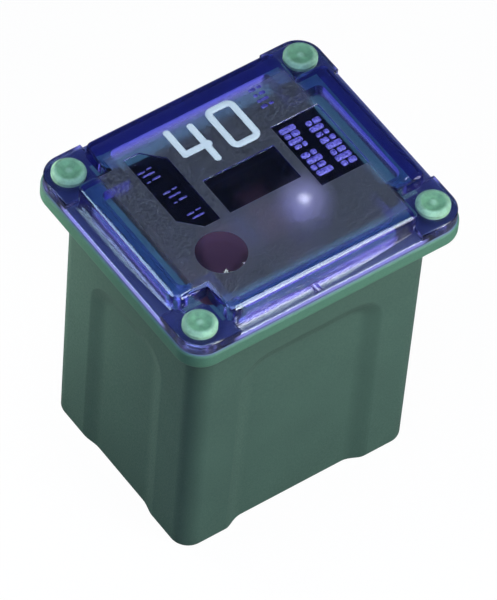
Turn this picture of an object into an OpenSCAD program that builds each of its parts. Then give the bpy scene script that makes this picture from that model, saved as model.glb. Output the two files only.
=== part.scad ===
// Plug-on cartridge fuse: a moulded housing with two blade sockets in its underside,
// a clear lid staked on at the corners, and a stamped element with its fusible link inside.
// X runs along the row of sockets, Z is up, and the origin is at the middle of the underside.

/* [Terminals] */
// Distance between the two blades that the fuse plugs onto
blade_pitch = 9; // [8.4:0.1:12]
// Width of the blades
blade_width = 8; // [6.3:0.1:9.5]
// Thickness of the blades
blade_thickness = 0.8; // [0.6:0.1:1]
// Thickness of the copper sheet
sheet = 0.6; // [0.4:0.05:0.7]
// Width of each terminal
terminal_width = 8.6; // [7:0.1:10]
// Height of a terminal from its mouth to the underside of its top plate
terminal_height = 11.6; // [10:0.1:15]
// Inside half width of a terminal below its top plate
terminal_half_gap = 1.5; // [1.3:0.05:1.8]
// Inside radius of the bends at the top plate
bend_radius = 0.5; // [0.3:0.05:0.7]
// Gap between the contact points with no blade inserted
contact_gap = 0.5; // [0.3:0.05:0.7]
// Height of the contact points above the mouth
contact_height = 2.6; // [2:0.1:4]
// Straight length of the leaves below the top plate
leaf_straight = 3.6; // [2:0.1:5]
// Half width of the mouth between the flared ends of the leaves
mouth_half_gap = 1.1; // [0.8:0.05:1.4]
// Length of the ears that seat the top plate on the ribs
ear_length = 1.5; // [1:0.1:2.5]

/* [Fusible link] */
// Width of the link
link_width = 3; // [1.6:0.1:3.4]
// Rise of the link above the top plates
link_rise = 4.4; // [0.8:0.1:5]
// Run of each leg of the link
link_leg_run = 0.35; // [0.2:0.05:1.2]
// Radius of the weakening notches
neck_radius = 0.55; // [0.2:0.05:0.65]
// Radius of the tin pellet
pellet_radius = 0.9; // [0.6:0.05:1.1]
// Length of the tin pellet
pellet_length = 3; // [2:0.1:4]
// Clearance between pellet and cradle
pellet_fit = 0.02; // [0.01:0.01:0.05]

/* [Spring clips] */
// Thickness of the spring steel
spring_sheet = 0.4; // [0.25:0.05:0.5]
// Width of a clip
spring_width = 6.4; // [5.4:0.1:6.8]
// Gap between the fingers of a clip and the link
finger_gap = 0.3; // [0.15:0.05:0.5]
// Height at which a clip ends above the contact points
spring_end = 1.2; // [0.8:0.1:2]

/* [Housing] */
// Thickness of the side walls at the underside
wall = 1.4; // [1.2:0.05:2]
// Thickness of the floor
floor_thickness = 1.6; // [1.2:0.1:2.4]
// Draft of the side walls in degrees
draft = 0.4; // [0:0.1:1]
// Radius of the vertical corners at the underside
body_corner = 1.33; // [1:0.05:2]
// Radius of the bottom edge
bottom_edge = 0.2; // [0.1:0.05:0.4]
// Radius of the cove below the flange
cove = 0.6; // [0.3:0.05:0.9]
// Room between the clips and the end walls
end_gap = 0.67; // [0.3:0.01:1.2]
// Room between the ears and the side walls
ear_gap = 0.3; // [0.1:0.05:0.6]
// Room between the mouth of a terminal and the floor
foot_gap = 0.6; // [0.3:0.05:1]
// Height from the seat of the element to the flange
head_room = 7.65; // [5:0.05:10]
// Radius of the inside corners
cavity_corner = 0.8; // [0.4:0.05:1.2]
// Thickness of the partition between the terminals
partition = 1.4; // [1:0.1:1.8]
// Depth of the top of the partition below the seat of the element
partition_drop = 1.6; // [1.2:0.1:3]
// Thickness of the guide ribs
rib = 1.2; // [0.8:0.1:1.6]
// Clearance between a terminal and its guide ribs
rib_fit = 0.1; // [0.05:0.05:0.3]
// Clearance of the slots around the blades
slot_fit = 0.4; // [0.2:0.05:0.6]
// Height and width of the lead-in at the slots
slot_lead = 0.6; // [0.3:0.1:1]

/* [Side panels] */
// Width of the corner pillars beside the panels
pillar = 4.06; // [3.2:0.02:4.8]
// Depth of the panels on the long sides
side_panel_depth = 0.55; // [0.3:0.05:0.7]
// Depth of the panels on the ends
end_panel_depth = 0.3; // [0.2:0.05:0.6]
// Distance from the top of a side panel to the flange
side_panel_drop = 4.6; // [3.5:0.05:8]
// Distance from the top of an end panel to the flange
end_panel_drop = 5.05; // [3.5:0.05:8]
// Width of the soft step round a panel
panel_step = 1.9; // [1.2:0.1:2.4]
// Radius of the upper corners of a panel
panel_corner = 1.8; // [1.3:0.1:2.5]

/* [Flange and posts] */
// Overhang of the flange at the ends
end_overhang = 1.72; // [1.4:0.02:2.4]
// Overhang of the flange at the sides
side_overhang = 1.64; // [1.4:0.02:2.4]
// Thickness of the flange
flange_thickness = 1.25; // [0.8:0.05:1.6]
// Radius of the corners of the flange
flange_corner = 1.85; // [1.5:0.05:2.6]
// Radius of the edges of the flange
flange_edge = 0.28; // [0.1:0.02:0.35]
// Diameter of the posts through the lid
post_diameter = 1.5; // [1.2:0.05:1.8]
// Diameter of the staked heads
head_diameter = 2.3; // [2:0.05:2.5]
// Height of the staked heads
head_height = 0.5; // [0.4:0.05:0.8]
// Bevel of the staked heads
head_bevel = 0.24; // [0.1:0.02:0.3]
// Depth of the dish in the staked heads
head_dish = 0.12; // [0.05:0.01:0.2]
// Radius of the low bump in the middle of the dish
head_bump = 0.36; // [0.2:0.02:0.5]

/* [Lid] */
// Width of the lip of the flange round the lid
lid_lip = 0.15; // [0.05:0.05:0.3]
// Thickness of the rim
rim_thickness = 0.45; // [0.35:0.05:0.8]
// Height of the pads round the posts above the rim
pad_rise = 0.42; // [0.2:0.02:0.8]
// Radius of the edges of the rim and of the pads
rim_edge = 0.15; // [0.05:0.05:0.3]
// Distance from the posts to the ends of the rim
post_end_inset = 1.6; // [1.4:0.02:2.2]
// Distance from the posts to the sides of the rim
post_side_inset = 1.7; // [1.4:0.02:2.2]
// Clearance between posts and lid
post_fit = 0.06; // [0.03:0.01:0.12]
// Ledge between cap and rim at the ends
end_ledge = 0.94; // [0.6:0.02:1.2]
// Ledge between cap and rim at the sides
side_ledge = 0.82; // [0.6:0.02:1.2]
// Height of the cap above the rim
cap_height = 1.55; // [1.2:0.05:2.5]
// Room between a post and the walls of its notch
notch_room = 1.7; // [1.4:0.05:2]
// Thickness of the walls of the cap
cap_wall = 1.1; // [0.8:0.05:1.4]
// Thickness of the top of the cap
cap_top = 1; // [0.7:0.05:1.2]
// Radius of the vertical edges of the cap
cap_corner = 0.5; // [0.4:0.05:0.8]
// Radius of the top edges of the cap
cap_edge = 0.38; // [0.1:0.02:0.4]
// Place of the gate mark along its side
gate_x = -0.9; // [-3:0.1:3]
// Width of the gate mark
gate_width = 0.6; // [0.4:0.05:1]
// Height of the gate mark above the rim
gate_rise = 0.12; // [0.06:0.02:0.2]

/* [Fields on the lid] */
// Depth of the polished fields
field_depth = 0.12; // [0.05:0.01:0.25]
// Length of the inspection window
window_length = 5.5; // [4:0.1:7]
// Width of the inspection window
window_width = 3.1; // [2:0.1:4]
// Length of the marking pad
pad_length = 3.7; // [2.5:0.1:4]
// Width of the marking pad
pad_width = 5.7; // [4:0.1:7]
// Place of the middle of the marking pad
pad_x = 5.3; // [5:0.1:6]
// Length of the plain field opposite the pad
plain_length = 2.5; // [1.5:0.1:3]
// Width of the plain field opposite the pad
plain_width = 7.2; // [4:0.1:7.5]
// Length of the two cut corners of the plain field
plain_cut = 1.3; // [0.4:0.1:1.4]
// Place of the middle of the plain field
plain_place = [-4.8, 2];
// Diameter of the round lens over the link
lens_diameter = 3.45; // [2.5:0.05:3.8]
// Rise of the lens above the cap
lens_rise = 0.16; // [0.06:0.02:0.4]
// Place of the middle of the lens
lens_place = [-5.07, -3.88];

/* [Hidden] */
$fn = 64;
overcut = 1;
root_depth = 0.3;
step_proud = 0.025;
steps = 8;

blade_x = blade_pitch / 2;
cavity_length = blade_pitch + 2 * (terminal_half_gap + sheet + spring_sheet + end_gap);
cavity_width = terminal_width + 2 * (ear_length + ear_gap);
body_length = cavity_length + 2 * wall;
body_width = cavity_width + 2 * wall;
mouth_z = floor_thickness + foot_gap;
seat_z = mouth_z + terminal_height;
body_height = seat_z + head_room;
flange_length = body_length + 2 * end_overhang;
flange_width = body_width + 2 * side_overhang;
lid_z = body_height + flange_thickness;
lid_length = flange_length - 2 * lid_lip;
lid_width = flange_width - 2 * lid_lip;
lid_corner = flange_corner - lid_lip;
ledge_z = lid_z + rim_thickness;
pad_z = ledge_z + pad_rise;
top_z = ledge_z + cap_height;
post_x = lid_length / 2 - post_end_inset;
post_y = lid_width / 2 - post_side_inset;
cap_length = lid_length - 2 * end_ledge;
cap_width = lid_width - 2 * side_ledge;
notch_x = post_x - notch_room;
notch_y = post_y - notch_room;
plate_z = seat_z + sheet / 2;
link_z = plate_z + link_rise;
gate_radius = gate_rise / 2 + gate_width * gate_width / (8 * gate_rise);
lens_radius = lens_rise / 2 + lens_diameter * lens_diameter / (8 * lens_rise);
cradle_radius = pellet_radius + pellet_fit;
finger_half_slot = link_width / 2 + finger_gap;

// Centre line of one leaf, from the middle of the top plate over the bend to the flared mouth.
// It runs in the distance from the blade and the height.
bend_centre = [terminal_half_gap - bend_radius, seat_z - bend_radius];
bend_mid = bend_radius + sheet / 2;
leaf_x = terminal_half_gap + sheet / 2;
contact_x = (contact_gap + sheet) / 2;
contact_z = mouth_z + contact_height;
leaf_line = concat(
    [[0, plate_z]],
    [for (i = [0:steps]) bend_centre + bend_mid * [sin(90 * i / steps), cos(90 * i / steps)]],
    [
        [leaf_x, seat_z - bend_radius - leaf_straight],
        [contact_x, contact_z + sheet],
        [contact_x, contact_z - sheet / 2],
        [mouth_half_gap + sheet / 2, mouth_z]
    ]
);
spring_stop = contact_z + spring_end;

// Offset of a line's point i along the mitre of its two neighbours.
function unit(v) = v / norm(v);
function left_of(v) = [-v[1], v[0]];
function mitre(line, i) =
    let (
        a = unit(line[max(i, 1)] - line[max(i, 1) - 1]),
        b = unit(line[min(i + 1, len(line) - 1)] - line[min(i, len(line) - 2)]),
        m = unit(left_of(a) + left_of(b))
    )
    m / (m * left_of(b));
function offset_line(line, d) = [for (i = [0:len(line) - 1]) line[i] + d * mitre(line, i)];
function backwards(line) = [for (i = [len(line) - 1:-1:0]) line[i]];

// Strip of sheet between two offsets of a line.
module strip(line, inner, outer) {
    polygon(concat(offset_line(line, inner), backwards(offset_line(line, outer))));
}

// Stands an outline of distance and height up, with its thickness across the fuse.
module across(from, to) {
    translate([0, to, 0])
        rotate([90, 0, 0])
            linear_extrude(to - from)
                children();
}

// Sweeps an outline round a rounded rectangle and fills the middle. The outline runs from
// the axis of a corner outwards, and its height is that of the block.
module swept_block(length, width, corner, height) {
    x = length / 2 - corner;
    y = width / 2 - corner;
    translate([-x, -y, 0])
        cube([2 * x, 2 * y, height]);
    for (side = [0:3]) {
        along = side % 2 == 0 ? x : y;
        away = side % 2 == 0 ? y : x;
        rotate(90 * side) {
            translate([along, -away, 0])
                rotate([90, 0, 90])
                    translate([0, 0, -2 * along])
                        linear_extrude(2 * along)
                            mirror([1, 0])
                                children();
            translate([along, away, 0])
                rotate_extrude(angle = 90)
                    children();
        }
    }
}

// Section of a block with rounded lower and upper edges.
module edged_section(corner, height, lower, upper) {
    polygon(concat(
        [[0, 0]],
        [for (i = [0:steps]) [corner - lower + lower * sin(90 * i / steps),
            lower - lower * cos(90 * i / steps)]],
        [for (i = [0:steps]) [corner - upper + upper * cos(90 * i / steps),
            height - upper + upper * sin(90 * i / steps)]],
        [[0, height]]
    ));
}

module edged_block(length, width, corner, height, lower, upper) {
    swept_block(length, width, corner, height)
        edged_section(corner, height, lower, upper);
}

// Square section with round corners, for straight walls.
module rounded_outline(length, width, corner) {
    square([length - 2 * corner, width], center = true);
    square([length, width - 2 * corner], center = true);
    for (x = [-1, 1], y = [-1, 1])
        translate([x * (length / 2 - corner), y * (width / 2 - corner)])
            circle(corner);
}

// Section of the drafted wall, with the round bottom edge and the cove below the flange.
module body_section() {
    top_radius = body_corner + body_height * tan(draft);
    polygon(concat(
        [[0, 0]],
        [for (i = [0:steps]) [body_corner - bottom_edge + bottom_edge * sin(90 * i / steps),
            bottom_edge - bottom_edge * cos(90 * i / steps)]],
        [for (i = [0:steps]) [top_radius + cove - cove * cos(90 * i / steps),
            body_height - cove + cove * sin(90 * i / steps)]],
        [[0, body_height]]
    ));
}

// Section of the soft step round a panel, from its floor out to the face of the wall.
// It ends a little proud of the face, so that the cut leaves a clean line.
module step_section(depth) {
    inner = panel_corner - panel_step / 2;
    polygon(concat(
        [[0, -overcut], [0, depth]],
        [for (i = [0:steps]) [inner + panel_step * i / steps,
            (depth + step_proud) * (1 + cos(180 * i / steps)) / 2 - step_proud]],
        [[inner + panel_step, -overcut]]
    ));
}

// Cutter for one panel. It lies on its face with the depth along Z and the top along Y,
// and it runs out below the bottom edge.
module panel_cutter(width, height, depth) {
    x = width / 2 - panel_corner;
    y = height - panel_corner;
    translate([-x, -overcut, -overcut])
        cube([2 * x, y + overcut, depth + overcut]);
    translate([-x, y, 0])
        rotate([90, 0, 90])
            linear_extrude(2 * x)
                step_section(depth);
    for (side = [0, 1])
        mirror([side, 0, 0])
            translate([x, 0, 0]) {
                translate([0, y, 0])
                    rotate([90, 0, 0])
                        linear_extrude(y + overcut)
                            step_section(depth);
                translate([0, y, 0])
                    rotate_extrude(angle = 90)
                        step_section(depth);
            }
}

// One panel on the wall at a given distance from the middle, leaned with the draft.
module panel(distance, across_wall, drop, depth) {
    translate([0, -distance, 0])
        rotate([90 + draft, 0, 0])
            mirror([0, 0, 1])
                panel_cutter(across_wall - 2 * pillar, body_height - drop, depth);
}

module panels() {
    for (turn = [0, 180]) {
        rotate(turn)
            panel(body_width / 2, body_length, side_panel_drop, side_panel_depth);
        rotate(turn + 90)
            panel(body_length / 2, body_width, end_panel_drop, end_panel_depth);
    }
}

// Slot for one blade through the floor, with its lead-in.
module blade_slot() {
    length = blade_thickness + 2 * slot_fit;
    width = blade_width + 2 * slot_fit;
    translate([-length / 2, -width / 2, -overcut])
        cube([length, width, floor_thickness + 2 * overcut]);
    intersection() {
        across(-width / 2 - slot_lead, width / 2 + slot_lead)
            lead_section(length);
        rotate(90)
            across(-length / 2 - slot_lead, length / 2 + slot_lead)
                lead_section(width);
    }
}

module lead_section(mouth) {
    half = mouth / 2;
    polygon([
        [-half - slot_lead, -overcut],
        [half + slot_lead, -overcut],
        [half + slot_lead, 0],
        [half, slot_lead],
        [-half, slot_lead],
        [-half - slot_lead, 0]
    ]);
}

// Wall between the terminals, and the ribs that guide them and carry the ears.
module inner_walls() {
    root_z = floor_thickness - root_depth;
    partition_reach = cavity_width / 2 + root_depth;
    rib_start = terminal_width / 2 + rib_fit;
    translate([-partition / 2, -partition_reach, root_z])
        cube([partition, 2 * partition_reach, seat_z - partition_drop - root_z]);
    for (x = [-1, 1], y = [0, 1])
        mirror([0, y, 0])
            translate([x * blade_x - rib / 2, rib_start, root_z])
                cube([rib, partition_reach - rib_start, seat_z - root_z]);
}

// Staked post: a shank through the lid and a flat head with a bevel and a shallow dish.
module staked_post() {
    head = head_diameter / 2;
    translate([0, 0, lid_z - root_depth])
        cylinder(d = post_diameter, h = root_depth + pad_z - lid_z);
    translate([0, 0, pad_z])
        rotate_extrude()
            polygon([
                [0, 0],
                [head, 0],
                [head, head_height - head_bevel],
                [head - head_bevel, head_height],
                [head_bump, head_height - head_dish],
                [0, head_height - head_dish / 2]
            ]);
}

module housing() {
    color("#4f7467") {
        difference() {
            union() {
                swept_block(body_length, body_width, body_corner, body_height)
                    body_section();
                translate([0, 0, body_height])
                    edged_block(flange_length, flange_width, flange_corner, flange_thickness,
                        flange_edge, flange_edge);
            }
            translate([0, 0, floor_thickness])
                linear_extrude(lid_z - floor_thickness + overcut)
                    rounded_outline(cavity_length, cavity_width, cavity_corner);
            panels();
            for (x = [-1, 1])
                translate([x * blade_x, 0, 0])
                    blade_slot();
        }
        inner_walls();
        for (x = [-1, 1], y = [-1, 1])
            translate([x * post_x, y * post_y, 0])
                staked_post();
    }
}

// Cap of the lid: two crossed blocks leave a square notch at each corner.
module cap(height, inset, corner, edge) {
    edged_block(cap_length - 2 * inset, 2 * notch_y - 2 * inset, corner, height, 0, edge);
    edged_block(2 * notch_x - 2 * inset, cap_width - 2 * inset, corner, height, 0, edge);
}

// Pads that fill the corners of the rim, below the heads of the posts.
module corner_pads() {
    intersection() {
        edged_block(lid_length, lid_width, lid_corner, pad_z - lid_z, 0, rim_edge);
        for (x = [0, 1], y = [0, 1])
            mirror([x, 0, 0])
                mirror([0, y, 0])
                    translate([notch_x - root_depth, notch_y - root_depth, 0])
                        cube([lid_length, lid_width, pad_z - lid_z]);
    }
}

// Outline of the plain field, with two opposite corners cut off.
module plain_field() {
    x = plain_length / 2;
    y = plain_width / 2;
    polygon([
        [-x, -y + plain_cut],
        [-x + plain_cut, -y],
        [x, -y],
        [x, y - plain_cut],
        [x - plain_cut, y],
        [-x, y]
    ]);
}

// Polished fields sunk into the grained top of the cap.
module fields() {
    translate([0, 0, top_z - field_depth])
        linear_extrude(field_depth + overcut) {
            square([window_length, window_width], center = true);
            translate([pad_x, 0])
                square([pad_length, pad_width], center = true);
            translate(plain_place)
                plain_field();
        }
}

// Low round lens on the top of the cap.
module lens() {
    translate([lens_place[0], lens_place[1], top_z])
        intersection() {
            translate([0, 0, lens_rise - lens_radius])
                sphere(lens_radius);
            translate([0, 0, -root_depth])
                cylinder(d = lens_diameter, h = 2 * root_depth + lens_rise);
        }
}

// Low round mark that the gate of the mould left across one ledge.
module gate_mark() {
    across(rim_edge - lid_width / 2, root_depth - cap_width / 2)
        intersection() {
            translate([gate_x, ledge_z + gate_rise - gate_radius])
                circle(gate_radius);
            translate([gate_x - gate_width / 2, lid_z])
                square([gate_width, cap_height]);
        }
}

module cover() {
    color("#4a4c9a", 0.6)
        difference() {
            union() {
                translate([0, 0, lid_z])
                    edged_block(lid_length, lid_width, lid_corner, rim_thickness, 0, rim_edge);
                translate([0, 0, lid_z])
                    corner_pads();
                translate([0, 0, lid_z])
                    cap(top_z - lid_z, 0, cap_corner, cap_edge);
                gate_mark();
                lens();
            }
            translate([0, 0, lid_z - overcut])
                cap(top_z - cap_top - lid_z + overcut, cap_wall, cap_corner, 0);
            for (x = [-1, 1], y = [-1, 1])
                translate([x * post_x, y * post_y, lid_z - overcut])
                    cylinder(d = post_diameter + 2 * post_fit, h = pad_z - lid_z + 2 * overcut);
            fields();
        }
}

// Outline of one leaf with its half of the top plate, between two offsets of the sheet's middle.
module leaf(inner, outer) {
    strip(leaf_line, inner, outer);
}

module terminal() {
    half = terminal_width / 2;
    across(-half, half)
        leaf(-sheet / 2, sheet / 2);
    for (y = [0, 1])
        mirror([0, y, 0])
            across(finger_half_slot, half)
                mirror([1, 0])
                    leaf(-sheet / 2, sheet / 2);
    plate = terminal_half_gap - bend_radius;
    translate([-plate, -half - ear_length, seat_z])
        cube([2 * plate, terminal_width + 2 * ear_length, sheet]);
}

// Half of the link, from inside the top plate up its leg to the cradle of the pellet.
module link_half() {
    plate_edge = blade_x - terminal_half_gap + bend_radius;
    cradle_edge = cradle_radius + sheet / 2;
    leg_foot = plate_edge - sheet;
    leg_head = leg_foot - link_leg_run;
    line = [
        [plate_edge + root_depth, plate_z],
        [leg_foot, plate_z],
        [leg_head, link_z],
        [cradle_edge, link_z]
    ];
    difference() {
        across(-link_width / 2, link_width / 2)
            strip(line, -sheet / 2, sheet / 2);
        for (y = [-1, 1])
            translate([(leg_head + cradle_edge) / 2, y * link_width / 2, 0])
                cylinder(r = neck_radius, h = top_z);
    }
}

// Half-round cradle of the pellet in the middle of the link.
module cradle() {
    across(-link_width / 2, link_width / 2)
        translate([0, link_z])
            intersection() {
                difference() {
                    circle(cradle_radius + sheet);
                    circle(cradle_radius);
                }
                translate([-top_z, -2 * top_z + sheet / 2])
                    square(2 * top_z);
            }
}

module fuse_element() {
    color("#b87149") {
        for (side = [0, 1])
            mirror([side, 0, 0]) {
                translate([blade_x, 0, 0])
                    terminal();
                link_half();
            }
        cradle();
    }
}

module tin_pellet() {
    color("#b9bcbe")
        translate([0, pellet_length / 2, link_z])
            rotate([90, 0, 0])
                cylinder(r = pellet_radius, h = pellet_length);
}

// Clip over one terminal, with a full leg on the outer leaf and two fingers on the inner one.
module spring_clip() {
    half = spring_width / 2;
    stop = 2 * top_z;
    intersection() {
        union() {
            across(-half, half)
                leaf(sheet / 2, sheet / 2 + spring_sheet);
            for (y = [0, 1])
                mirror([0, y, 0])
                    across(finger_half_slot, half)
                        mirror([1, 0])
                            leaf(sheet / 2, sheet / 2 + spring_sheet);
        }
        translate([-stop / 2, -stop / 2, spring_stop])
            cube(stop);
    }
}

module spring_clip_right() {
    color("#8d9296")
        translate([blade_x, 0, 0])
            spring_clip();
}

module spring_clip_left() {
    color("#8d9296")
        mirror([1, 0, 0])
            translate([blade_x, 0, 0])
                spring_clip();
}

housing();
cover();
fuse_element();
tin_pellet();
spring_clip_left();
spring_clip_right();
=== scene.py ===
import math

import bmesh
import bpy
from mathutils import Matrix, Vector


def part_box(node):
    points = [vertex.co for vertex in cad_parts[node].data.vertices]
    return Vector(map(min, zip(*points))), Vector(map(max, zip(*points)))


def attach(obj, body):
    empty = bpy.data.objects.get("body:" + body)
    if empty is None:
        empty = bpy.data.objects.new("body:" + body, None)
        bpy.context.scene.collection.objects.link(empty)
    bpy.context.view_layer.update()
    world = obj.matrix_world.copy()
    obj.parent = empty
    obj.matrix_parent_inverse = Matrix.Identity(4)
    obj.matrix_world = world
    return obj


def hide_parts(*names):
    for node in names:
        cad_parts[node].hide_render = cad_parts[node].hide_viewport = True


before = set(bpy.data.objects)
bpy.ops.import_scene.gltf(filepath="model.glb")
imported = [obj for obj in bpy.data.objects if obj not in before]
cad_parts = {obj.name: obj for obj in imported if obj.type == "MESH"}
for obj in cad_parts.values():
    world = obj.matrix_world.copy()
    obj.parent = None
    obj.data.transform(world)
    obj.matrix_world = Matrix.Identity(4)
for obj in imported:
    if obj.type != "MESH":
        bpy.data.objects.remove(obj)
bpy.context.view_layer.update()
scene = bpy.context.scene
mm = 0.001
lidLow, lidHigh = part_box("cover")
print("frame loaded:", sorted(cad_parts))


# helpers for node trees

def addNode(tree, kind, inputs=None, **settings):  # each input is a socket to link or a plain value
    node = tree.nodes.new("ShaderNode" + kind)
    for name, value in settings.items():
        setattr(node, name, value)
    for name, value in (inputs or {}).items():
        if isinstance(value, bpy.types.NodeSocket):
            tree.links.new(value, node.inputs[name])
        else:
            node.inputs[name].default_value = value
    return node


def mathNode(tree, operation, first, second=0.0):
    return addNode(tree, "Math", {0: first, 1: second}, operation=operation).outputs[0]


def product(tree, first, *others):
    for other in others:
        first = mathNode(tree, "MULTIPLY", first, other)
    return first


def fromMiddle(tree, place):  # distances from the middle planes, along X and along Y
    return [mathNode(tree, "ABSOLUTE", place[axis]) for axis in "XY"]


def ramp(tree, value, low, high, toLow=0.0, toHigh=1.0):
    node = addNode(tree, "MapRange", {"Value": value, "From Min": low, "From Max": high,
                                      "To Min": toLow, "To Max": toHigh})
    return node.outputs[0]


def mixColour(tree, factor, first, second):  # sockets 6, 7 and 2 of a mix node are its colours
    first, second = (tone if isinstance(tone, bpy.types.NodeSocket) else (*tone, 1.0)
                     for tone in (first, second))
    return addNode(tree, "Mix", {0: factor, 6: first, 7: second}, data_type="RGBA").outputs[2]


def newGroup(name, inputs, outputs):
    group = bpy.data.node_groups.new(name, "ShaderNodeTree")
    for label, kind, value in inputs:
        socket = group.interface.new_socket(label, in_out="INPUT", socket_type="NodeSocket" + kind)
        if value is not None:
            socket.default_value = value
    for label, kind in outputs:
        group.interface.new_socket(label, in_out="OUTPUT", socket_type="NodeSocket" + kind)
    entry = group.nodes.new("NodeGroupInput")
    leave = group.nodes.new("NodeGroupOutput")
    return group, entry.outputs, leave.inputs


def placeGroup(tree, group, inputs):
    return addNode(tree, "Group", inputs, node_tree=group).outputs


def newMaterial(name, **plain):
    material = bpy.data.materials.new(name)
    material.use_nodes = True
    tree = material.node_tree
    shader = tree.nodes["Principled BSDF"]
    for socketName, value in plain.items():
        shader.inputs[socketName.replace("_", " ")].default_value = value
    coords = tree.nodes.new("ShaderNodeTexCoord").outputs["Object"]
    return material, tree, shader, coords


def feed(tree, shader, **sockets):
    for name, value in sockets.items():
        tree.links.new(value, shader.inputs[name.replace("_", " ")])


# shared effects

effectValues = {
    "mouldGrain": {"Detail": 3.0, "Roughness": 0.6},
    "speckleFrom": (0.38, 0.62),
    "toneDrift": {"Detail": 2.0, "Roughness": 0.5},
    "driftFrom": (0.3, 0.7),
    "rolledLines": {"Detail": 4.0, "Roughness": 0.65},
}


def makeMouldGrain(v):
    group, given, out = newGroup("mouldGrain",
                                 [("Vector", "Vector", None), ("Scale", "Float", 9000.0)],
                                 [("Height", "Float"), ("Speckle", "Float")])
    fine = addNode(group, "TexNoise", {"Vector": given["Vector"], "Scale": given["Scale"],
                                       **v["mouldGrain"]}).outputs["Fac"]
    group.links.new(fine, out["Height"])
    group.links.new(ramp(group, fine, *v["speckleFrom"]), out["Speckle"])
    return group


def makeToneDrift(v):
    group, given, out = newGroup("toneDrift",
                                 [("Vector", "Vector", None), ("Scale", "Float", 250.0),
                                  ("Low", "Float", 0.0), ("High", "Float", 1.0)],
                                 [("Factor", "Float")])
    broad = addNode(group, "TexNoise", {"Vector": given["Vector"], "Scale": given["Scale"],
                                        **v["toneDrift"]}).outputs["Fac"]
    group.links.new(ramp(group, broad, *v["driftFrom"], given["Low"], given["High"]), out["Factor"])
    return group


def makeRolledLines(v):
    group, given, out = newGroup("rolledLines",
                                 [("Vector", "Vector", None), ("Scale", "Float", 3000.0),
                                  ("Stretch", "Vector", (1.0, 0.04, 0.04))],
                                 [("Lines", "Float")])
    drawn = addNode(group, "VectorMath", {0: given["Vector"], 1: given["Stretch"]},
                    operation="MULTIPLY").outputs[0]
    lines = addNode(group, "TexNoise", {"Vector": drawn, "Scale": given["Scale"],
                                        **v["rolledLines"]}).outputs["Fac"]
    group.links.new(lines, out["Lines"])
    return group


mouldGrain = makeMouldGrain(effectValues)
toneDrift = makeToneDrift(effectValues)
rolledLines = makeRolledLines(effectValues)


# materials

housingLook = {
    "body": (0.072, 0.136, 0.102),
    # painted light: the flange band is a lighter green than the body below it, as more light falls near the
    # top
    "flange": (0.088, 0.215, 0.142),
    # painted light: the seat under the cap is a much lighter green than the flange; painted shade: the seat
    # under the rim and in the corners is a dark blue-grey
    "seat": (0.32, 0.74, 0.42),
    "rimSeatShade": (0.13, 0.17, 0.30),
    # painted shade: a near-black tone for the walls inside the housing
    "inside": (0.010, 0.028, 0.024),
    # painted light: the heads are a much lighter green than the body, for the light on their upward tops;
    # the ring and dot tone is a painted highlight
    "head": (0.195, 0.435, 0.24),
    "headHighlight": (0.36, 0.63, 0.41),
    "dark": (0.02, 0.035, 0.03),
    "capHalf": (9.1 * mm, 7.4 * mm),
    "notch": (7.34 * mm, 5.59 * mm),
    "cavityHalf": (7.72 * mm, 6.15 * mm),
    "cavityFrom": 1.58 * mm,
    "cavityTo": 22.66 * mm,
    "edgeFade": 0.04 * mm,
    "flangeFrom": (20.7 * mm, 21.6 * mm),
    "seatFrom": (22.6 * mm, 22.68 * mm),
    "headFrom": (23.5 * mm, 23.62 * mm),
    "post": (9.04 * mm, 7.29 * mm),
    "headRing": (0.72 * mm, 0.95 * mm),
    "headDot": (0.30 * mm, 0.10 * mm),
    "driftScale": 260.0,
    "drift": 0.12,
    "mottleScale": 2600.0,
    "mottle": 0.28,
    "grain": 9000.0,
    "grainDark": 0.06,
    "grainBump": 0.5,
    "grainDepth": 0.03 * mm,
    "rough": (0.42, 0.58),
    "specular": 0.2,
}


def headHighlightMask(tree, place, look):  # painted highlight: a pale ring and a pale dot on each head, where its rounded edge and its middle catch the light
    farX, farY = fromMiddle(tree, place)
    offX = mathNode(tree, "SUBTRACT", farX, look["post"][0])
    offY = mathNode(tree, "SUBTRACT", farY, look["post"][1])
    squares = mathNode(tree, "ADD", product(tree, offX, offX), product(tree, offY, offY))
    away = mathNode(tree, "SQRT", squares)
    return mathNode(tree, "MAXIMUM", ramp(tree, away, *look["headRing"]), ramp(tree, away, *look["headDot"]))


def insideShadeMask(tree, place, look):  # painted shade: the walls inside the housing get a near-black tone for the shade within
    fade = look["edgeFade"]
    halfX, halfY = look["cavityHalf"]
    farX, farY = fromMiddle(tree, place)
    inX = ramp(tree, farX, halfX + fade, halfX)
    inY = ramp(tree, farY, halfY + fade, halfY)
    above = ramp(tree, place["Z"], look["cavityFrom"] - fade, look["cavityFrom"])
    below = ramp(tree, place["Z"], look["cavityTo"], look["cavityTo"] - fade)
    return product(tree, inX, inY, above, below)


def capMask(tree, place, look):  # the cross under the cap, without the notches and the rim of the lid; the seat is painted light inside it and painted shade outside it
    farX, farY = fromMiddle(tree, place)
    fade = look["edgeFade"]
    capX, capY = look["capHalf"]
    notchX, notchY = look["notch"]

    def block(halfX, halfY):
        return product(tree, ramp(tree, farX, halfX + fade, halfX), ramp(tree, farY, halfY + fade, halfY))

    return mathNode(tree, "MAXIMUM", block(capX, notchY), block(notchX, capY))


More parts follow.
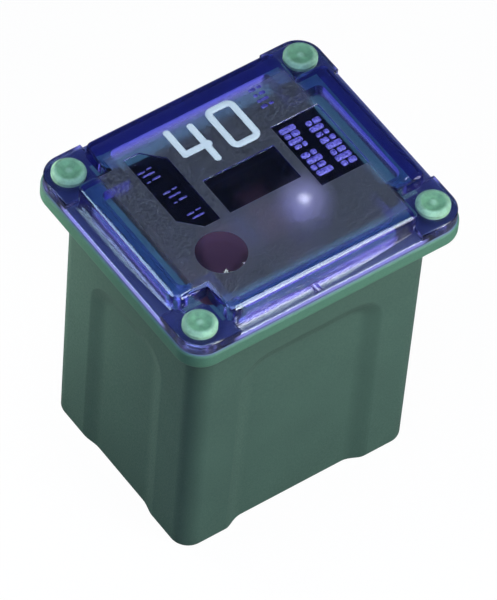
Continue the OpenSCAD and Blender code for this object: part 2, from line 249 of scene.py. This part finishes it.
def makeGreenMoulding(look):
    material, tree, shader, coords = newMaterial("greenMoulding", Specular_IOR_Level=look["specular"])
    place = addNode(tree, "SeparateXYZ", {0: coords}).outputs
    flange = ramp(tree, place["Z"], *look["flangeFrom"])
    seat = ramp(tree, place["Z"], *look["seatFrom"])
    head = ramp(tree, place["Z"], *look["headFrom"])
    # painted light on the heads, with a painted highlight ring and dot
    litHeadTone = mixColour(tree, headHighlightMask(tree, place, look), look["head"], look["headHighlight"])
    # painted light on the seat under the cap, painted shade on the seat under the rim
    seatLightAndShade = mixColour(tree, capMask(tree, place, look), look["rimSeatShade"], look["seat"])
    # painted light: the flange band is lighter than the body
    tone = mixColour(tree, flange, look["body"], look["flange"])
    tone = mixColour(tree, head, mixColour(tree, seat, tone, seatLightAndShade), litHeadTone)
    tone = mixColour(tree, insideShadeMask(tree, place, look), tone, look["inside"])
    drift = placeGroup(tree, toneDrift, {"Vector": coords, "Scale": look["driftScale"],
                                         "Low": 0.0, "High": look["drift"]})["Factor"]
    mottle = placeGroup(tree, toneDrift, {"Vector": coords, "Scale": look["mottleScale"],
                                          "Low": 0.0, "High": look["mottle"]})["Factor"]
    grain = placeGroup(tree, mouldGrain, {"Vector": coords, "Scale": look["grain"]})
    speck = product(tree, grain["Speckle"], look["grainDark"])
    dark = mathNode(tree, "ADD", mathNode(tree, "ADD", drift, speck), product(tree, mottle, head))
    colour = mixColour(tree, dark, tone, look["dark"])
    rough = ramp(tree, grain["Speckle"], 0.0, 1.0, *look["rough"])
    bump = addNode(tree, "Bump", {"Height": grain["Height"], "Strength": look["grainBump"],
                                  "Distance": look["grainDepth"]}).outputs[0]
    feed(tree, shader, Base_Color=colour, Roughness=rough, Normal=bump)
    return material


lidLook = {
    "tint": (0.95, 0.95, 1.0),
    "driftTint": (0.6, 0.6, 0.9),
    "driftScale": 200.0,
    "drift": 0.02,
    "absorbed": (0.36, 0.38, 0.92, 1.0),
    "density": 600.0,
    "ior": 1.585,
    "seatGap": 0.015 * mm,
    "lensRise": 0.16 * mm,
    "lensMiddle": (-5.07 * mm, -3.88 * mm),
    "lensHalf": 1.725 * mm,
    "lensNear": 0.02 * mm,
    "clearRough": 0.04,
    "sideRough": 0.18,
    "sideBelow": (0.30 * mm, 0.42 * mm),
    "grainMiddle": (-0.575 * mm, -0.52 * mm),
    "grainHalf": (7.975 * mm, 7.22 * mm),
    "grainFade": 0.45 * mm,
    "grainBelow": 0.04 * mm,
    "grainAbove": 0.008 * mm,
    "grain": 5500.0,
    "grainRough": 0.28,
    "grainBump": 0.6,
    "grainDepth": 0.03 * mm,
    "veil": (0.117, 0.78),
    "veilRough": 0.75,
    "veilIor": 2.0,
    "ledge": 23.15 * mm,
    "ledgeGrain": (-0.03 * mm, 0.05 * mm),
    "ledgeVeil": 0.20,
    "rimFrom": (10.4 * mm, 8.75 * mm),
    "rimRun": (7.6 * mm, 5.9 * mm),
    "rimFade": 0.5 * mm,
    "rimHeight": (22.76 * mm, 23.12 * mm),
    # painted glow: violet emission on the side of the rim
    "rimGlowColour": (0.38, 0.38, 1.0, 1.0),
    "rimGlow": 0.55,
}
capTop = lidHigh.z - lidLook["lensRise"]


def topGrainMask(tree, place, look):  # the grained top of the cap, without its lens and sunk fields
    halfX, halfY = look["grainHalf"]
    offX = mathNode(tree, "SUBTRACT", place["X"], look["grainMiddle"][0])
    offY = mathNode(tree, "SUBTRACT", place["Y"], look["grainMiddle"][1])
    insideX = ramp(tree, mathNode(tree, "ABSOLUTE", offX), halfX, halfX - look["grainFade"])
    insideY = ramp(tree, mathNode(tree, "ABSOLUTE", offY), halfY, halfY - look["grainFade"])
    onTop = ramp(tree, place["Z"], capTop - look["grainBelow"], capTop - look["grainBelow"] / 2)
    offLens = ramp(tree, place["Z"], capTop + look["grainAbove"], capTop + look["grainAbove"] / 2)
    return product(tree, insideX, insideY, onTop, offLens)


def ledgeMask(tree, place, look):  # the thin rim's upper side, around the cap
    low, high = (look["ledge"] + offset for offset in look["ledgeGrain"])
    return product(tree, ramp(tree, place["Z"], low, low + look["grainAbove"]),
                   ramp(tree, place["Z"], high, look["ledge"] + look["grainAbove"]))


def rimGlowMask(tree, place, look):  # painted glow: the side of the rim emits violet light, in place of light led along in the clear sheet
    farX, farY = fromMiddle(tree, place)
    fromX, fromY = look["rimFrom"]
    runX, runY = look["rimRun"]
    step = look["grainAbove"]

    def side(outward, reach, along, half):
        return product(tree, ramp(tree, outward, reach, reach + step),
                       ramp(tree, along, half, half - look["rimFade"]))

    sides = mathNode(tree, "MAXIMUM", side(farX, fromX, farY, runY), side(farY, fromY, farX, runX))
    low, high = look["rimHeight"]
    below = ramp(tree, place["Z"], high, high - step)
    above = ramp(tree, place["Z"], low, low + step)
    return product(tree, sides, below, above)


def makeVioletClear(look):
    material, tree, shader, coords = newMaterial("violetClear", Transmission_Weight=1.0, IOR=look["ior"],
                                                 Coat_Roughness=look["veilRough"], Coat_IOR=look["veilIor"],
                                                 Emission_Color=look["rimGlowColour"])
    place = addNode(tree, "SeparateXYZ", {0: coords}).outputs
    topGrain = topGrainMask(tree, place, look)
    onLedge = ledgeMask(tree, place, look)
    grained = mathNode(tree, "MAXIMUM", topGrain, onLedge)
    veiled = mathNode(tree, "MAXIMUM", topGrain, product(tree, onLedge, look["ledgeVeil"]))
    grain = placeGroup(tree, mouldGrain, {"Vector": coords, "Scale": look["grain"]})
    drift = placeGroup(tree, toneDrift, {"Vector": coords, "Scale": look["driftScale"],
                                         "Low": 0.0, "High": look["drift"]})["Factor"]
    colour = mixColour(tree, drift, look["tint"], look["driftTint"])
    sideFrom, sideTo = (capTop - below for below in look["sideBelow"])
    smooth = ramp(tree, place["Z"], sideFrom, sideTo, look["clearRough"], look["sideRough"])
    rough = ramp(tree, topGrain, 0.0, 1.0, smooth, look["grainRough"])
    veil = ramp(tree, grain["Speckle"], 0.0, 1.0, *look["veil"])
    bump = addNode(tree, "Bump", {"Height": product(tree, grain["Height"], grained),
                                  "Strength": look["grainBump"], "Distance": look["grainDepth"]}).outputs[0]
    # the emission is a painted glow on the side of the rim
    feed(tree, shader, Base_Color=colour, Roughness=rough, Normal=bump,
         Coat_Weight=product(tree, veil, veiled),
         Emission_Strength=product(tree, rimGlowMask(tree, place, look), look["rimGlow"]))
    absorb = addNode(tree, "VolumeAbsorption", {"Color": look["absorbed"], "Density": look["density"]})
    tree.links.new(absorb.outputs[0], tree.nodes["Material Output"].inputs["Volume"])
    return material


metalLook = {
    "lineScale": 4000.0,
    "driftScale": 500.0,
    "wornLines": (0.35, 0.65),
    "worn": (0.6, 1.0),
    "roughLines": (0.3, 0.7),
    "roughSpan": (-0.08, 0.1),
    "bump": 0.3,
    "depth": 0.01 * mm,
    "kinds": {
        "copperSheet": {"bright": (0.80, 0.42, 0.27), "dull": (0.55, 0.27, 0.18), "rough": 0.5,
                        "stretch": (0.05, 1.0, 1.0)},
        "tinMetal": {"bright": (0.36, 0.37, 0.37), "dull": (0.22, 0.23, 0.24), "rough": 0.42,
                     "stretch": (1.0, 0.1, 1.0)},
        "springSteel": {"bright": (0.58, 0.59, 0.61), "dull": (0.36, 0.37, 0.40), "rough": 0.30,
                        "stretch": (1.0, 0.05, 1.0)},
    },
}


def makeSheetMetal(name, look):
    kind = look["kinds"][name]
    material, tree, shader, coords = newMaterial(name, Metallic=1.0)
    lines = placeGroup(tree, rolledLines, {"Vector": coords, "Scale": look["lineScale"],
                                           "Stretch": kind["stretch"]})["Lines"]
    drift = placeGroup(tree, toneDrift, {"Vector": coords, "Scale": look["driftScale"]})["Factor"]
    worn = product(tree, drift, ramp(tree, lines, *look["wornLines"], *look["worn"]))
    colour = mixColour(tree, worn, kind["bright"], kind["dull"])
    rough = ramp(tree, lines, *look["roughLines"], *(kind["rough"] + part for part in look["roughSpan"]))
    bump = addNode(tree, "Bump", {"Height": lines, "Strength": look["bump"],
                                  "Distance": look["depth"]}).outputs[0]
    feed(tree, shader, Base_Color=colour, Roughness=rough, Normal=bump)
    return material


inkLook = {
    "full": (0.71, 0.79, 0.78),
    "thin": (0.55, 0.63, 0.65),
    "grain": 7000.0,
    "driftScale": 900.0,
    "drift": 0.25,
    "rough": (0.45, 0.6),
    "specular": 0.3,
    "bump": 0.3,
    "depth": 0.01 * mm,
}


def makeInk(look):
    material, tree, shader, coords = newMaterial("whiteInk", Specular_IOR_Level=look["specular"])
    grain = placeGroup(tree, mouldGrain, {"Vector": coords, "Scale": look["grain"]})
    drift = placeGroup(tree, toneDrift, {"Vector": coords, "Scale": look["driftScale"],
                                         "Low": 0.0, "High": look["drift"]})["Factor"]
    colour = mixColour(tree, drift, look["full"], look["thin"])
    rough = ramp(tree, grain["Speckle"], 0.0, 1.0, *look["rough"])
    bump = addNode(tree, "Bump", {"Height": grain["Height"], "Strength": look["bump"],
                                  "Distance": look["depth"]}).outputs[0]
    feed(tree, shader, Base_Color=colour, Roughness=rough, Normal=bump)
    return material


frostLook = {
    "grain": 6000.0,
    "roughFrom": (0.3, 0.7),
    "rough": (0.2, 0.5),
    "bump": 0.8,
    "depth": 0.05 * mm,
    "kinds": {
        "frostedViolet": {"deep": (0.04, 0.035, 0.26), "pale": (0.22, 0.18, 0.74)},
        "deepViolet": {"deep": (0.02, 0.02, 0.16), "pale": (0.09, 0.07, 0.42)},
    },
}


def makeFrosted(name, look):
    kind = look["kinds"][name]
    material, tree, shader, coords = newMaterial(name, IOR=lidLook["ior"])
    grain = placeGroup(tree, mouldGrain, {"Vector": coords, "Scale": look["grain"]})
    colour = mixColour(tree, grain["Speckle"], kind["deep"], kind["pale"])
    rough = ramp(tree, grain["Height"], *look["roughFrom"], *look["rough"])
    bump = addNode(tree, "Bump", {"Height": grain["Height"], "Strength": look["bump"],
                                  "Distance": look["depth"]}).outputs[0]
    feed(tree, shader, Base_Color=colour, Roughness=rough, Normal=bump)
    return material


greenMoulding = makeGreenMoulding(housingLook)
violetClear = makeVioletClear(lidLook)
copperSheet = makeSheetMetal("copperSheet", metalLook)
tinMetal = makeSheetMetal("tinMetal", metalLook)
springSteel = makeSheetMetal("springSteel", metalLook)
whiteInk = makeInk(inkLook)
frostedViolet = makeFrosted("frostedViolet", frostLook)
deepViolet = makeFrosted("deepViolet", frostLook)
print("materials made")


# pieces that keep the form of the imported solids, with merged points and smooth rounds

solidPieces = {
    "housing": {"name": "housingShell", "material": greenMoulding, "slot": "green_plastic", "sharp": 32},
    "cover": {"name": "lidShell", "material": violetClear, "slot": "clear_violet_plastic", "sharp": 32},
    "fuse_element": {"name": "elementSheet", "material": copperSheet, "slot": "copper_alloy", "sharp": 28},
    "tin_pellet": {"name": "pelletBody", "material": tinMetal, "slot": "tin", "sharp": 40},
    "spring_clip_left": {"name": "clipLeft", "material": springSteel, "slot": "spring_steel", "sharp": 28},
    "spring_clip_right": {"name": "clipRight", "material": springSteel, "slot": "spring_steel", "sharp": 28},
}
meshValues = {"merge": 0.0002 * mm, "flatDegrees": 0.05, "normalWeight": 100}


def finishPiece(piece):
    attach(piece, "root")


def smoothWithSharpEdges(piece, degrees):
    mesh = piece.data
    for face in mesh.polygons:
        face.use_smooth = True
    mesh.set_sharp_from_angle(angle=math.radians(degrees))
    weighted = piece.modifiers.new("weightedNormals", "WEIGHTED_NORMAL")
    weighted.mode = "FACE_AREA"
    weighted.weight = meshValues["normalWeight"]
    weighted.keep_sharp = True


def keepLensRim(mesh, look):  # the low lens meets the flat top at a crisp line
    middle = Vector(look["lensMiddle"])
    near = look["lensNear"]
    onRim = [abs((v.co.xy - middle).length - look["lensHalf"]) < near and abs(v.co.z - capTop) < near
             for v in mesh.vertices]
    for edge in mesh.edges:
        if all(onRim[index] for index in edge.vertices):
            edge.use_edge_sharp = True


def pieceFromSolid(nodeName, values):
    mesh = bpy.data.meshes.new(values["name"])
    bm = bmesh.new()
    bm.from_mesh(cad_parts[nodeName].data)
    bmesh.ops.remove_doubles(bm, verts=bm.verts, dist=meshValues["merge"])
    flat = math.radians(meshValues["flatDegrees"])
    bmesh.ops.dissolve_limit(bm, angle_limit=flat, verts=bm.verts, edges=bm.edges)
    if nodeName == "cover":  # a hair of air, so that light passes between the lid and the flange
        seat = [v for v in bm.verts if v.co.z < lidLow.z + lidLook["seatGap"] / 2]
        bmesh.ops.translate(bm, verts=seat, vec=(0.0, 0.0, lidLook["seatGap"]))
    bm.to_mesh(mesh)
    bm.free()
    mesh.materials.clear()
    mesh.materials.append(values["material"])
    piece = bpy.data.objects.new(values["name"], mesh)
    scene.collection.objects.link(piece)
    smoothWithSharpEdges(piece, values["sharp"])
    if nodeName == "cover":
        keepLensRim(mesh, lidLook)
    finishPiece(piece)
    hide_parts(nodeName)
    print(values["name"], len(mesh.polygons), "faces")


for nodeName, values in solidPieces.items():
    pieceFromSolid(nodeName, values)


# marks on the lid

markValues = {"sharp": 35, "edgeSegments": 2, "slot": "clear_violet_plastic"}


def markFromBmesh(bm, name, material):
    mesh = bpy.data.meshes.new(name)
    bmesh.ops.recalc_face_normals(bm, faces=bm.faces)
    bm.to_mesh(mesh)
    bm.free()
    mesh.materials.append(material)
    piece = bpy.data.objects.new(name, mesh)
    scene.collection.objects.link(piece)
    smoothWithSharpEdges(piece, markValues["sharp"])
    finishPiece(piece)


def addOutline(bm, points, level, rounded, radius, segments):
    verts = [bm.verts.new((x * mm, y * mm, level)) for x, y in points]
    bm.faces.new(verts)
    bmesh.ops.bevel(bm, geom=[verts[i] for i in rounded], offset=radius * mm, affect="VERTICES",
                    segments=segments, profile=0.5, material=-1)


def raiseFaces(bm, faces, height, edge):
    grown = bmesh.ops.extrude_face_region(bm, geom=faces)["geom"]
    top = [item for item in grown if isinstance(item, bmesh.types.BMVert)]
    bmesh.ops.translate(bm, verts=top, vec=(0.0, 0.0, height))
    lids = [item for item in grown if isinstance(item, bmesh.types.BMFace)]
    rim = [e for face in lids for e in face.edges if sum(f in lids for f in e.link_faces) == 1]
    bmesh.ops.bevel(bm, geom=rim, offset=edge, affect="EDGES", segments=markValues["edgeSegments"],
                    profile=0.5, material=-1)


numberValues = {  # in millimetres, apart from the shares, the segments and the ink
    "stroke": 0.48,
    "endRound": 0.9,
    "endSegments": 5,
    "left": -2.44,
    "right": -0.84,
    "bar": 3.88,
    "barEnd": -0.42,
    "leftTop": 6.2,
    "rightTop": 5.85,
    "rightFoot": 2.34,
    "zeroMiddle": (1.58, 4.37),
    "zeroSize": (2.28, 3.72),
    "zeroCorner": 0.62,
    "zeroSegments": 6,
    "ink": 0.014 * mm,
    "inkEdge": 0.006 * mm,
}


def makeFour(bm, v, level):
    h = v["stroke"] / 2
    left, right, bar = v["left"], v["right"], v["bar"]
    points = [(left - h, v["leftTop"]), (left - h, bar - h), (right - h, bar - h),
              (right - h, v["rightFoot"]), (right + h, v["rightFoot"]), (right + h, bar - h),
              (v["barEnd"], bar - h), (v["barEnd"], bar + h), (right + h, bar + h),
              (right + h, v["rightTop"]), (right - h, v["rightTop"]), (right - h, bar + h),
              (left + h, bar + h), (left + h, v["leftTop"])]
    outerCorners = (0, 1, 3, 4, 6, 7, 9, 10, 13)
    addOutline(bm, points, level, outerCorners, h * v["endRound"], v["endSegments"])


def makeZero(bm, v, level):
    x, y = v["zeroMiddle"]
    h = v["stroke"] / 2
    loops = []
    for grow in (h, -h):
        a, b = (size / 2 - h + grow for size in v["zeroSize"])
        before = set(bm.faces)
        addOutline(bm, [(x - a, y - b), (x + a, y - b), (x + a, y + b), (x - a, y + b)], level,
                   (0, 1, 2, 3), v["zeroCorner"] - h + grow, v["zeroSegments"])
        made = [f for f in bm.faces if f not in before]
        loops.append([e for f in made for e in f.edges])
        bmesh.ops.delete(bm, geom=made, context="FACES_ONLY")
    bmesh.ops.bridge_loops(bm, edges=loops[0] + loops[1])


def makeNumber(v):
    bm = bmesh.new()
    makeFour(bm, v, capTop)
    makeZero(bm, v, capTop)
    raiseFaces(bm, list(bm.faces), v["ink"], v["inkEdge"])
    markFromBmesh(bm, "ratingNumber", whiteInk)


makeNumber(numberValues)

barValues = {
    "padMarks": {"material": frostedViolet, "level": 0.12 * mm, "height": 0.09 * mm,
                 "rows": [(3.70, 2.16), (3.74, 1.64), (3.68, 1.10), (3.80, 0.62),
                          (3.72, -0.22), (3.78, -0.76), (3.70, -1.32), (3.76, -1.88),
                          (5.52, 1.82), (5.46, 1.28), (5.54, 0.72), (5.48, 0.16),
                          (5.56, -0.40), (5.50, -0.96), (5.46, -1.52), (5.56, -2.06)],
                 "dashes": [[(1.20, 0.44)], [(0.44, 0.40), (0.58, 0.44)], [(1.02, 0.40)],
                            [(0.50, 0.30), (0.36, 0.36)], [(0.62, 0.42), (0.42, 0.40)],
                            [(1.14, 0.46)], [(0.40, 0.44), (0.60, 0.38)]],
                 "gap": 0.10, "step": 0.0},
    "fieldMarks": {"material": deepViolet, "level": 0.12 * mm, "height": 0.05 * mm,
                   "rows": [(-5.90, 4.20), (-5.75, 3.85), (-5.80, 3.30), (-5.45, 2.00),
                            (-5.30, 1.60), (-5.30, 1.05), (-5.15, -0.20), (-5.00, -0.60)],
                   "dashes": [[(0.55, 0.14), (0.40, 0.12)], [(0.90, 0.14)], [(0.30, 0.12), (0.62, 0.15)]],
                   "gap": 0.14, "step": 0.06},
    "sideMarks": {"material": deepViolet, "level": 0.0, "height": 0.012 * mm,
                  "rows": [(3.98, 6.00), (4.02, 5.50), (3.95, 5.00), (3.90, 4.50)],
                  "dashes": [[(0.50, 0.26), (0.32, 0.22)], [(0.30, 0.24), (0.45, 0.26)], [(0.85, 0.24)]],
                  "gap": 0.12, "step": 0.0},
}
dashValues = {"corner": 0.35, "segments": 4, "edge": 0.45}


def makeBars(name, v, dash):  # plain dashes that spell nothing, each given as its length and width
    bm = bmesh.new()
    level = capTop - v["level"]
    for row, (x, y) in enumerate(v["rows"]):
        for length, width in v["dashes"][row % len(v["dashes"])]:
            low, high = y - width / 2, y + width / 2
            addOutline(bm, [(x, low), (x + length, low), (x + length, high), (x, high)], level,
                       (0, 1, 2, 3), min(width, length) * dash["corner"], dash["segments"])
            x += length + v["gap"]
            y += v["step"]
    raiseFaces(bm, list(bm.faces), v["height"], v["height"] * dash["edge"])
    markFromBmesh(bm, name, v["material"])


for barName, values in barValues.items():
    makeBars(barName, values, dashValues)
print("marks made")


# floor, light and camera

stageValues = {
    "half": 3.0,
    "bounce": (0.25, 0.25, 0.25),
    "seenFloor": (0.9, 0.9, 0.9),
    "shade": 0.035,
    "floorRough": 0.8,
    "floorGap": 0.02 * mm,
    "sky": [(0.0, 0.12), (0.5, 0.12), (0.60, 0.10), (0.72, 0.05), (0.86, 0.03), (1.0, 0.05)],
    "skyTint": (0.62, 0.80, 1.0),
    "lampPlaces": {
        "overFront": {"aim": (0.0, -8.0, 24.5), "toward": (0.389, -0.592, 0.706), "across": (1.0, 0.0, 0.0),
                      "distance": 160, "width": 32, "height": 440},
        "leftSide": {"aim": (-9.7, 0.0, 24.5), "toward": (-0.82, 0.478, 0.31), "across": (0.0, 1.0, 0.0),
                     "distance": 160, "width": 24, "height": 190},
        "overhead": {"aim": (0.0, 0.0, 24.0), "toward": (-0.30, -0.20, 0.93), "across": (1.0, 0.0, 0.0),
                     "distance": 150, "width": 160, "height": 160},
        "inFront": {"aim": (0.0, -7.0, 16.0), "toward": (0.34, -0.84, 0.42), "across": (1.0, 0.0, 0.0),
                    "distance": 70, "width": 55, "height": 50},
        "behindLeft": {"aim": (-9.0, 6.0, 15.0), "toward": (-0.55, 0.80, 0.24), "across": (0.0, 1.0, 0.0),
                       "distance": 16, "width": 10, "height": 14},
        "behind": {"aim": (2.0, 7.0, 23.5), "toward": (0.30, 0.92, 0.25), "across": (1.0, 0.0, 0.0),
                   "distance": 100, "width": 130, "height": 50},
        "overLens": {"aim": (-4.4, -5.2, 24.8), "toward": (0.5125, 0.2447, 0.823), "across": (1.0, 0.0, 0.0),
                     "distance": 200, "width": 11, "height": 11},
    },
    "stagger": 0.5,
    "softboxes": {  # place, radiance, colour, and the kinds of ray that see the lamp
        "edgeStrip": ("overFront", 9.0, (0.76, 0.93, 0.94), ("glossy",)),
        "keyLight": ("overFront", 3.9, (0.78, 0.90, 1.0), ("diffuse",)),
        "wallGlow": ("overFront", 1.9, (0.58, 0.48, 1.0), ("transmission",)),
        "leftStrip": ("leftSide", 8.2, (0.54, 0.78, 0.88), ("glossy",)),
        "leftLight": ("leftSide", 2.8, (0.84, 0.96, 0.96), ("diffuse",)),
        "leftGlow": ("leftSide", 1.7, (0.60, 0.50, 1.0), ("transmission",)),
        "topLight": ("overhead", 2.3, (0.54, 0.68, 1.0), ("diffuse", "glossy", "transmission")),
        "hazeLight": ("overhead", 3.2, (0.26, 0.40, 1.0), ("glossy",)),
        "frontLight": ("inFront", 5.3, (1.0, 1.0, 0.98), ("diffuse", "glossy")),
        "backLight": ("behindLeft", 15.0, (1.0, 1.0, 0.94), ("diffuse",)),
        "farGlow": ("behind", 1.5, (0.70, 0.62, 1.0), ("transmission",)),
        "sparkLight": ("overLens", 18.0, (0.72, 0.74, 1.0), ("glossy",)),
    },
    "glint": {"aim": (1.86, -3.15), "toward": (0.389, 0.478, 0.787), "cone": 1.0, "blend": 1.0,
              "lamp": 0.1, "gain": 0.42},
    "glintDiscs": [
        {"radius": 2.26, "radiance": 0.11, "colour": (0.44, 0.44, 1.0)},
        {"radius": 1.59, "radiance": 0.12, "colour": (0.44, 0.44, 1.0)},
        {"radius": 0.86, "radiance": 0.07, "colour": (0.70, 0.74, 1.0)},
        {"radius": 0.53, "radiance": 0.26, "colour": (0.75, 0.78, 1.0)},
        {"radius": 0.24, "radiance": 0.44, "colour": (0.75, 0.78, 1.0)},
    ],
}


def makeFloor(v):
    mesh = bpy.data.meshes.new("floor")
    bm = bmesh.new()
    bmesh.ops.create_grid(bm, x_segments=1, y_segments=1, size=v["half"])
    bmesh.ops.translate(bm, verts=bm.verts, vec=(0.0, 0.0, -v["floorGap"]))
    bm.to_mesh(mesh)
    bm.free()
    floor = bpy.data.objects.new("floor", mesh)
    scene.collection.objects.link(floor)
    material, tree, shader = newMaterial("paleFloor", Roughness=v["floorRough"], Specular_IOR_Level=0.0)[:3]
    path = addNode(tree, "LightPath").outputs
    feed(tree, shader, Base_Color=mixColour(tree, path["Is Camera Ray"], v["bounce"], v["seenFloor"]))
    seen = mathNode(tree, "MAXIMUM", path["Is Camera Ray"], path["Is Transmission Ray"])
    glow = addNode(tree, "Emission", {"Color": (1.0, 1.0, 1.0, 1.0), "Strength": 1.0})
    share = mathNode(tree, "MULTIPLY", seen, 1.0 - v["shade"])
    mixed = addNode(tree, "MixShader", {0: share, 1: shader.outputs[0], 2: glow.outputs[0]})
    facing = addNode(tree, "NewGeometry").outputs["Backfacing"]
    clear = addNode(tree, "BsdfTransparent")
    oneSided = addNode(tree, "MixShader", {0: facing, 1: mixed.outputs[0], 2: clear.outputs[0]})
    tree.links.new(oneSided.outputs[0], tree.nodes["Material Output"].inputs["Surface"])
    mesh.materials.append(material)


def makeSky(v):
    world = bpy.data.worlds.new("studio")
    scene.world = world
    world.use_nodes = True
    tree = world.node_tree
    way = tree.nodes.new("ShaderNodeTexCoord").outputs["Generated"]
    height = addNode(tree, "SeparateXYZ", {0: way}).outputs["Z"]
    ladder = tree.nodes.new("ShaderNodeValToRGB")
    tree.links.new(ramp(tree, height, -1.0, 1.0), ladder.inputs[0])
    stops = ladder.color_ramp.elements
    while len(stops) < len(v["sky"]):
        stops.new(0.5)
    for stop, (position, level) in zip(stops, v["sky"]):
        stop.position = position
        stop.color = (*(level * part for part in v["skyTint"]), 1.0)
    tree.links.new(ladder.outputs[0], tree.nodes["Background"].inputs["Color"])


def hangLamp(name, lamp, place, toward, across):
    holder = bpy.data.objects.new(name, lamp)
    scene.collection.objects.link(holder)
    sideways = (across - toward * across.dot(toward)).normalized()
    turn = Matrix((sideways, toward.cross(sideways), toward)).transposed().to_4x4()
    holder.matrix_world = Matrix.Translation(place) @ turn
    return holder


def makeSoftbox(name, v, further, radiance, colour, rays):
    lamp = bpy.data.lights.new(name, "AREA")
    lamp.shape = "RECTANGLE"
    lamp.size = v["width"] * mm
    lamp.size_y = v["height"] * mm
    lamp.energy = radiance * math.pi * lamp.size * lamp.size_y
    lamp.color = colour
    toward = Vector(v["toward"]).normalized()
    place = (Vector(v["aim"]) + toward * (v["distance"] + further)) * mm
    holder = hangLamp(name, lamp, place, toward, Vector(v["across"]))
    holder.visible_camera = False
    holder.visible_diffuse = "diffuse" in rays
    holder.visible_glossy = "glossy" in rays
    holder.visible_transmission = "transmission" in rays


def makeGlint(number, v, disc):  # a narrow cone, hung so far off that it lights one small disc of the grain
    lamp = bpy.data.lights.new("glint" + str(number), "SPOT")
    lamp.spot_size = math.radians(v["cone"])
    lamp.spot_blend = v["blend"]
    lamp.shadow_soft_size = v["lamp"] * mm
    lamp.color = disc["colour"]
    away = disc["radius"] * mm / math.tan(lamp.spot_size / 2)
    lamp.energy = 4 * math.pi * away ** 2 * disc["radiance"] / v["gain"]
    toward = Vector(v["toward"]).normalized()
    middle = Vector((v["aim"][0] * mm, v["aim"][1] * mm, capTop))
    hangLamp(lamp.name, lamp, middle + toward * away, toward, Vector((1.0, 0.0, 0.0)))


makeFloor(stageValues)
makeSky(stageValues)
# lamps that share a place hang a little apart, so that none hides another
for number, (lampName, (placeName, *lampLook)) in enumerate(stageValues["softboxes"].items()):
    makeSoftbox(lampName, stageValues["lampPlaces"][placeName], number * stageValues["stagger"], *lampLook)
for number, disc in enumerate(stageValues["glintDiscs"]):
    makeGlint(number, stageValues["glint"], disc)

cameraValues = {  # fitted to the photo
    "place": (-0.179384, -0.220182, 0.365537),
    "forward": (0.396726, 0.485213, -0.779215),
    "upward": (0.419759, 0.659028, 0.624087),
    "lens": 420.0,
    "sensor": 36.0,
    "clip": (0.01, 50.0),
}


def makeCamera(v):
    lens = bpy.data.cameras.new("camera")
    lens.sensor_fit = "AUTO"
    lens.sensor_width = v["sensor"]
    lens.lens = v["lens"]
    lens.clip_start, lens.clip_end = v["clip"]
    camera = bpy.data.objects.new("camera", lens)
    scene.collection.objects.link(camera)
    forward = Vector(v["forward"]).normalized()
    upward = Vector(v["upward"]).normalized()
    right = forward.cross(upward)
    turn = Matrix((right, upward, -forward)).transposed().to_4x4()
    camera.matrix_world = Matrix.Translation(v["place"]) @ turn
    scene.camera = camera


makeCamera(cameraValues)
scene.view_settings.view_transform = "Standard"
print("floor, light and camera set")
